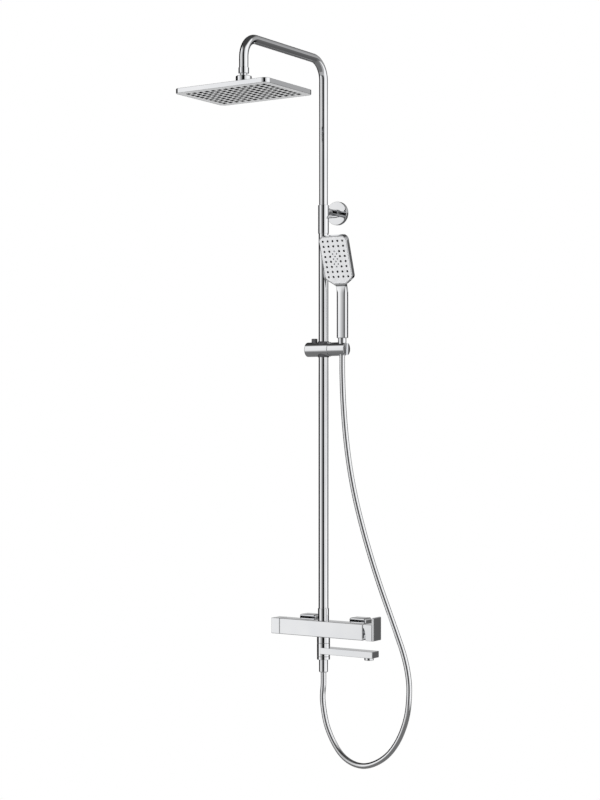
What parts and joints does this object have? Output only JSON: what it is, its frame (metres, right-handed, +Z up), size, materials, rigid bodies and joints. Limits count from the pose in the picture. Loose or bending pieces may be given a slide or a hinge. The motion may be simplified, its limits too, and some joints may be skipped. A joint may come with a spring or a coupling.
{
  "type": "rainfall shower column",
  "caption": "Wall bar mixer with telescopic riser, overhead rain head on a ball joint, hand shower on a sliding holder, swinging bath spout and hanging hose.",
  "frame": {"origin": "on the wall plane, midway between the two inlets, at the height of the mixer bar's centre line", "axes": "+X along the wall to the lever's end, +Y into the wall, +Z up"},
  "size_m": [0.4025, 0.553, 1.7862],
  "materials": {
    "chrome": "polished chrome plate",
    "brass": "turned, bare",
    "steel": "stainless, satin",
    "rubber": "dark silicone",
    "plastic": "moulded acetal",
    "cartridge_white": "moulded, satin",
    "spray_face": "light grey, satin",
    "hose_silver": "smooth silver sleeve over a spiral"
  },
  "bodies": {
    "root": {"bar_body": "chrome", "union_cover_left": "chrome", "union_cover_right": "chrome", "s_union_left": "brass", "s_union_right": "brass", "union_nut_left": "chrome", "union_nut_right": "chrome", "filter_washer_left": "rubber", "filter_washer_right": "rubber", "check_valve_left": "plastic", "check_valve_right": "plastic", "mixing_cartridge": "cartridge_white", "cartridge_retainer": "brass", "diverter_cartridge": "cartridge_white", "diverter_retainer": "brass", "column_collar": "chrome", "collar_seal": "rubber", "lower_pipe": "chrome", "bracket_sleeve": "chrome", "neck_ring": "chrome", "bracket_rosette": "chrome", "bracket_wall_plate": "steel", "wall_screw_lower": "steel", "wall_screw_upper": "steel", "outlet_body": "chrome", "outlet_retaining_ring": "chrome", "hose_nut": "chrome", "hose_washer": "rubber", "hose": "hose_silver"},
    "lock_screw": {"height_lock_screw": "chrome"},
    "diverter_knob": {"diverter_knob": "chrome", "diverter_stem": "brass"},
    "lever_turn": {"cartridge_spindle": "steel"},
    "lever": {"lever_hub": "chrome", "lever_plate": "chrome", "lever_stem": "steel", "lever_grub_screw": "steel"},
    "spout": {"spout": "chrome", "aerator_housing": "chrome", "aerator_insert": "plastic"},
    "riser": {"guide_bush": "plastic"},
    "arm": {"riser_arm": "chrome", "arm_collar": "chrome", "ball_stud": "chrome"},
    "head_gimbal": {"ball_seat": "plastic"},
    "rain_head": {"swivel_nut": "chrome", "rain_head_shell": "chrome", "rain_spray_plate": "chrome", "rain_nozzle_mat": "rubber"},
    "slider": {"slider_body": "chrome", "slider_bush": "plastic", "slider_end_cap": "chrome", "button_spring": "steel"},
    "release_button": {"release_button": "plastic"},
    "holder": {"handset_holder": "chrome"},
    "handset": {"handset_shell": "chrome", "handset_spray_face": "spray_face", "handset_nozzle_mat": "rubber", "cone_nut": "chrome", "handset_seal": "rubber"}
  },
  "joints": [
    {"name": "height_lock_turn", "type": "hinge", "parent": "root", "child": "lock_screw", "pos_m": [0.01365, -0.072, 1.039], "axis": [1, 0, 0], "range_deg": [-180, 180]},
    {"name": "diverter_turn", "type": "hinge", "parent": "root", "child": "diverter_knob", "pos_m": [-0.1212, -0.072, 0], "axis": [1, 0, 0], "range_deg": [-90, 90]},
    {"name": "temperature_turn", "type": "hinge", "parent": "root", "child": "lever_turn", "pos_m": [0.1225, -0.072, 0], "axis": [1, 0, 0], "range_deg": [-45, 45]},
    {"name": "flow_lift", "type": "hinge", "parent": "lever_turn", "child": "lever", "pos_m": [0.1225, -0.072, 0], "axis": [0, 1, 0], "range_deg": [0, 20]},
    {"name": "spout_swing", "type": "hinge", "parent": "root", "child": "spout", "pos_m": [0, -0.072, -0.055], "axis": [0, 0, 1], "range_deg": [-180, 0]},
    {"name": "riser_height", "type": "slide", "parent": "root", "child": "riser", "axis": [0, 0, 1], "range_m": [-0.12, 0.08]},
    {"name": "arm_swivel", "type": "hinge", "parent": "riser", "child": "arm", "pos_m": [0, -0.072, 1.434], "axis": [0, 0, 1], "range_deg": [-40, 40]},
    {"name": "rain_head_pitch", "type": "hinge", "parent": "arm", "child": "head_gimbal", "pos_m": [0, -0.422, 1.327], "axis": [1, 0, 0], "range_deg": [-11, 11]},
    {"name": "rain_head_roll", "type": "hinge", "parent": "head_gimbal", "child": "rain_head", "pos_m": [0, -0.422, 1.327], "axis": [0, 1, 0], "range_deg": [-11, 11]},
    {"name": "slider_height", "type": "slide", "parent": "root", "child": "slider", "axis": [0, 0, 1], "range_m": [-0.4, 0.04], "deforming": ["hose"]},
    {"name": "release_press", "type": "slide", "parent": "slider", "child": "release_button", "axis": [0, 0, -1], "range_m": [0, 0.005], "stiffness_N_per_m": 300, "springref_m": -0.003, "deforming": ["button_spring"]},
    {"name": "holder_tilt", "type": "hinge", "parent": "slider", "child": "holder", "pos_m": [0.0557, -0.072, 0.7055], "axis": [1, 0, 0], "range_deg": [-8, 40]},
    {"name": "handset_lift", "type": "slide", "parent": "holder", "child": "handset", "axis": [0, 0, 1], "range_m": [0, 0.05]}
  ]
}
